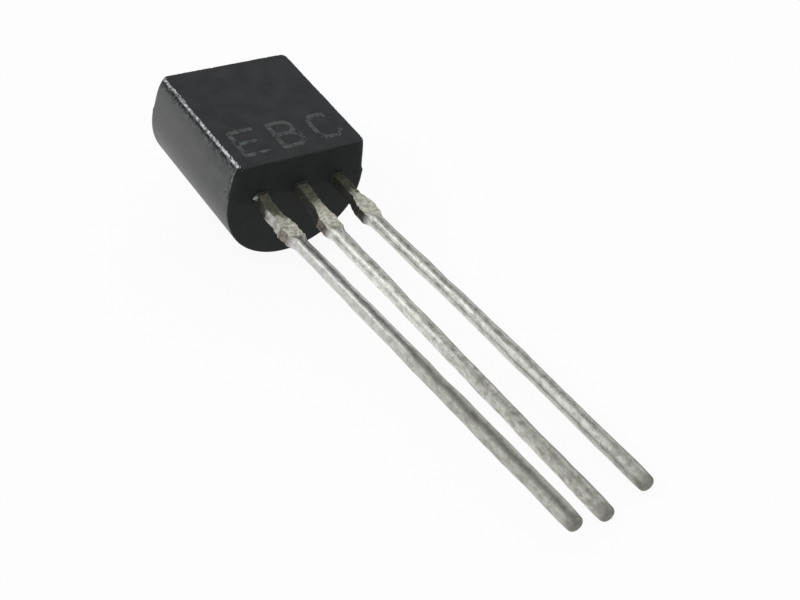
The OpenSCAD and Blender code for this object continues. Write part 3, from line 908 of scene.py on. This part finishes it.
def lead_metal(name, lead, tip_y):
    """Tarnished sheet at the case, a bare stub, then solder that ages and dulls towards the tip,
    with the case's shadow on the sheet and shade round the solder painted in.
    """
    material, tree, shader = new_material(name + "_metal")
    where = own_place(tree)
    y = add(tree, "ShaderNodeSeparateXYZ", {"Vector": where}).outputs[1]
    along = times(tree, y, -1)
    normal = add(tree, "ShaderNodeNewGeometry").outputs["Normal"]
    patches = speckle(tree, where, 0.28, 4)
    blotch = speckle(tree, where, 0.13, 4)
    grain = speckle(tree, where, 0.06, 4)
    streaks = speckle(tree, drawn_out(tree, where, 0.15), 0.06, 3)
    pits = speckle(tree, drawn_out(tree, where, 0.6), 0.16, 4, 0.7)

    # Where along the lead each look begins and ends, its border ragged
    place = maths(tree, "ADD", along, remap(tree, patches, 0.3, 0.7, -0.25, 0.25))
    tarnish = remap(tree, place, 0.75, 1.15, 1, 0)
    bare = remap(tree, along, SHAFT_AT - 0.02, SHAFT_AT + 0.12, 1, 0)
    aged = remap(tree, along, 0.5 * lead["shine_to"], lead["shine_to"] + 4)
    dull = remap(tree, place, lead["shine_to"] - 2, lead["shine_to"])

    # Round the lead: painted shade, as a dark reflection, on the ridge a little left of its top,
    # and painted shade down its two sides
    painted_ridge_shade = maths(tree, "SUBTRACT", facing(tree, normal, (0.70, 0, 0.714)), 0.26)
    painted_ridge_shade = remap(tree, times(tree, painted_ridge_shade, painted_ridge_shade), 0, 0.16, 1, 0)
    painted_ridge_shade = times(tree, times(tree, painted_ridge_shade, dull), 0.55 * lead["shade"])
    facing_left = facing(tree, normal, (-1, 0, 0))
    painted_left_shade = times(tree, remap(tree, facing_left, 0.85, 0.97), lead["left_shade"])
    painted_right_shade = times(tree, remap(tree, facing_left, -0.05, -0.4), lead["right_shade"])

    silver = layered(
        tree, grey(lead["silver"], (1, 1.0, 0.95)),
        (remap(tree, streaks, 0.38, 0.62), grey(0.84 * lead["silver"], (1, 1.01, 0.92))),
        (remap(tree, patches, 0.5, 0.7), grey(0.78 * lead["silver"], (1.02, 1.0, 0.92))),
        (times(tree, aged, 0.7), grey(lead["aged"], (1, 1.01, 0.90))),
        (remap(tree, pits, 0.44, 0.62, 0, 0.6), grey(0.22, (1, 0.97, 0.86))),
        (remap(tree, grain, 0.58, 0.70, 0, 0.3), grey(0.24, (1, 0.99, 0.9))),
        (painted_ridge_shade, grey(0.05, (1, 0.98, 0.92))),
        (maths(tree, "MAXIMUM", painted_left_shade, painted_right_shade), grey(0.08, (1, 0.98, 0.92))),
        (remap(tree, y, tip_y + 0.03, tip_y + 0.4, 0.8, 0), grey(0.13, (1, 0.97, 0.85))))

    # The bare sheet, beige and stained, and olive at the root
    olive = blend_colour(
        tree, remap(tree, blotch, 0.4, 0.62),
        grey(1.2 * lead["root"], (1, 1.06, 0.70)), grey(0.7 * lead["root"], (1, 1.02, 0.66)))
    top = layered(
        tree, grey(0.70, (1, 1.0, 0.86)),
        (remap(tree, blotch, 0.42, 0.6), grey(0.42, (1, 0.99, 0.80))),
        (remap(tree, patches, 0.52, 0.62, 0, 0.55 * lead["stain"]), grey(0.22, (1, 0.90, 0.66))),
        (remap(tree, grain, 0.55, 0.66, 0, 0.8 * lead["stain"]), grey(0.13, (1, 0.88, 0.68))),
        (tarnish, olive))
    # Its left side, dim at the root where the case's shadow is painted, and coppery where the dam
    # bar was cut
    cut = blend_colour(
        tree, remap(tree, blotch, 0.42, 0.58),
        grey(lead["cut"], (1, 0.88, 0.76)), grey(0.4 * lead["cut"], (1, 0.80, 0.64)))
    side = layered(
        tree, grey(lead["side"], (1, 0.99, 0.93)),
        (remap(tree, blotch, 0.4, 0.62), grey(0.6 * lead["side"], (1, 0.94, 0.84))),
        # the case's shadow, painted dim near the root
        (remap(tree, place, 0.45, 0.65, 1, 0), grey(0.5 * lead["root"], (1, 1.03, 0.75))),
        (remap(tree, along, STUB_AT - 0.05, STUB_AT + 0.02), cut))
    sheet = blend_colour(tree, remap(tree, facing_left, 0.45, 0.7), top, side)
    tree.links.new(blend_colour(tree, bare, silver, sheet), shader.inputs["Base Color"])

    metallic = maths(tree, "SUBTRACT", 1.0, times(tree, dull, 0.2))
    metallic = times(tree, metallic, remap(tree, bare, 0, 1, 1.0, 0.35))
    tree.links.new(metallic, shader.inputs["Metallic"])
    rough = remap(tree, grain, 0.3, 0.7, lead["rough"], lead["rough"] + 0.08)
    rough = maths(tree, "ADD", rough, remap(tree, bare, 0, 1, 0, 0.1))
    tree.links.new(rough, shader.inputs["Roughness"])
    shine = remap(tree, dull, 0, 1, 1, 0.05)
    shine = times(tree, shine, remap(tree, along, SHAFT_AT - 0.1, SHAFT_AT, 0.1, 1))
    # the coat is weaker where the right side's shade is painted
    shine = times(tree, shine, maths(tree, "SUBTRACT", 1.0, painted_right_shade))
    tree.links.new(shine, shader.inputs["Coat Weight"])
    shader.inputs["Coat Roughness"].default_value = 0.15
    shader.inputs["Coat IOR"].default_value = 2.3
    bump(tree, shader, maths(tree, "ADD", pits, streaks))
    return material


def plain(name, colour, metallic, roughness, mottle):
    """The look of a small inner piece: one colour with a little mottle."""
    material, tree, shader = new_material(name)
    spots = speckle(tree, own_place(tree), 0.04)
    dull = tuple((1 - mottle) * c for c in colour[:3]) + (1,)
    mottled = blend_colour(tree, remap(tree, spots, 0.35, 0.65), colour, dull)
    tree.links.new(mottled, shader.inputs["Base Color"])
    shader.inputs["Metallic"].default_value = metallic
    shader.inputs["Roughness"].default_value = roughness
    return material


def dress_inner_pieces():
    """Materials for the pieces that the resin hides, which keep their CAD meshes."""
    gold = plain("bond_gold", (0.83, 0.55, 0.18, 1), 1, 0.25, 0.1)
    silicon = plain("silicon", (0.16, 0.18, 0.22, 1), 0.3, 0.2, 0.2)
    attach_layer = plain("attach_layer", (0.5, 0.47, 0.42, 1), 0.8, 0.5, 0.3)
    for name, slot, material in (
            ("silicon_chip", "silicon", silicon), ("die_attach", "attach_layer", attach_layer),
            ("emitter_bond_wire", "bond_gold", gold), ("base_bond_wire", "bond_gold", gold)):
        node = frame["nodes"][name]
        node.data.materials.clear()
        node.data.materials.append(material)


# ---------------------------------------------------------------- stage


def floor_material():
    """White to the camera and in reflections, yet darkened a little by the part's shadow."""
    material, tree, shader = new_material("white_floor")
    shader.inputs["Base Color"].default_value = grey(0.9)
    shader.inputs["Roughness"].default_value = 0.9
    shader.inputs["Specular IOR Level"].default_value = 0
    path = add(tree, "ShaderNodeLightPath").outputs
    seen = maths(tree, "MAXIMUM", path["Is Camera Ray"], path["Is Glossy Ray"])
    seen = maths(tree, "MAXIMUM", seen, path["Is Transmission Ray"])
    share = times(tree, seen, FLOOR_WHITE)
    white = add(tree, "ShaderNodeEmission", {"Color": grey(1.0), "Strength": 1.0})
    mix = add(tree, "ShaderNodeMixShader", {0: share, 1: shader.outputs[0], 2: white.outputs[0]})
    tree.links.new(mix.outputs[0], tree.nodes["Material Output"].inputs["Surface"])
    return material


def make_floor():
    """A white floor at Z = 0, on which the part lies."""
    corners = [(x * FLOOR_HALF, y * FLOOR_HALF, 0) for x, y in ((-1, -1), (1, -1), (1, 1), (-1, 1))]
    mesh = bpy.data.meshes.new("floor")
    mesh.from_pydata(corners, [], [(0, 1, 2, 3)])
    mesh.materials.append(floor_material())
    floor = bpy.data.objects.new("floor", mesh)
    bpy.context.scene.collection.objects.link(floor)


def make_world():
    """White all round, but for a dark quarter high on the right that only reflections see."""
    world = bpy.data.worlds.new("studio")
    bpy.context.scene.world = world
    world.use_nodes = True
    tree = world.node_tree
    direction = add(tree, "ShaderNodeTexCoord").outputs["Generated"]
    level = add(tree, "ShaderNodeMapRange", {
        "Value": facing(tree, direction, DARK_QUARTER.normalized()),
        "From Min": DARK_FROM, "From Max": DARK_FULL, "To Min": 1.0, "To Max": DARK_LEVEL},
        interpolation_type="SMOOTHSTEP").outputs[0]
    room = add(tree, "ShaderNodeCombineColor", {0: level, 1: level, 2: level}).outputs[0]
    path = add(tree, "ShaderNodeLightPath").outputs
    colour = layered(tree, grey(FILL_LIGHT), (path["Is Glossy Ray"], room),
                     (path["Is Camera Ray"], grey(1.0)))
    tree.links.new(colour, tree.nodes["Background"].inputs["Color"])


def aim(made, place, ahead, up):
    """Sets an object at a place, looking ahead, with its Y axis as near up as it can be."""
    back = -ahead.normalized()
    right = up.cross(back).normalized()
    turn = Matrix((right, back.cross(right), back)).transposed()
    made.matrix_world = Matrix.Translation(place) @ turn.to_4x4()


def make_camera():
    """The camera of the photo, placed in the case's own frame."""
    data = bpy.data.cameras.new("camera")
    data.sensor_width = SENSOR_W
    data.lens = LENS
    data.clip_start = CLIP_START
    camera = bpy.data.objects.new("camera", data)
    bpy.context.scene.collection.objects.link(camera)
    level = math.cos(VIEW_DROP)
    ahead = Vector((math.sin(VIEW_TURN) * level, math.cos(VIEW_TURN) * level, -math.sin(VIEW_DROP)))
    up = Matrix.Rotation(-VIEW_ROLL, 3, ahead) @ Vector((0, 0, 1))
    turn = OWN.to_3x3()
    aim(camera, OWN @ (MM * (AIM - AIM_DISTANCE * ahead)), turn @ ahead, turn @ up)
    bpy.context.scene.camera = camera


def make_key():
    """The one lamp, round and high behind the case on its left."""
    data = bpy.data.lights.new("key", "AREA")
    data.shape = "DISK"
    data.size = KEY_SIZE * MM
    data.energy = KEY_POWER
    lamp = bpy.data.objects.new("key", data)
    bpy.context.scene.collection.objects.link(lamp)
    place = OWN @ (MM * KEY_DISTANCE * KEY_FROM.normalized())
    aim(lamp, place, OWN.to_3x3() @ -KEY_FROM, Vector((0.1, 0.2, 1)))


dress_case()
for lead_name, one_lead in LEADS.items():
    make_lead(lead_name, one_lead)
for one_letter, one_lead in zip("EBC", LEADS.values()):
    make_ink(one_letter, one_lead)
dress_inner_pieces()

make_floor()
make_world()
make_key()
make_camera()
bpy.context.scene.view_settings.view_transform = "Standard"
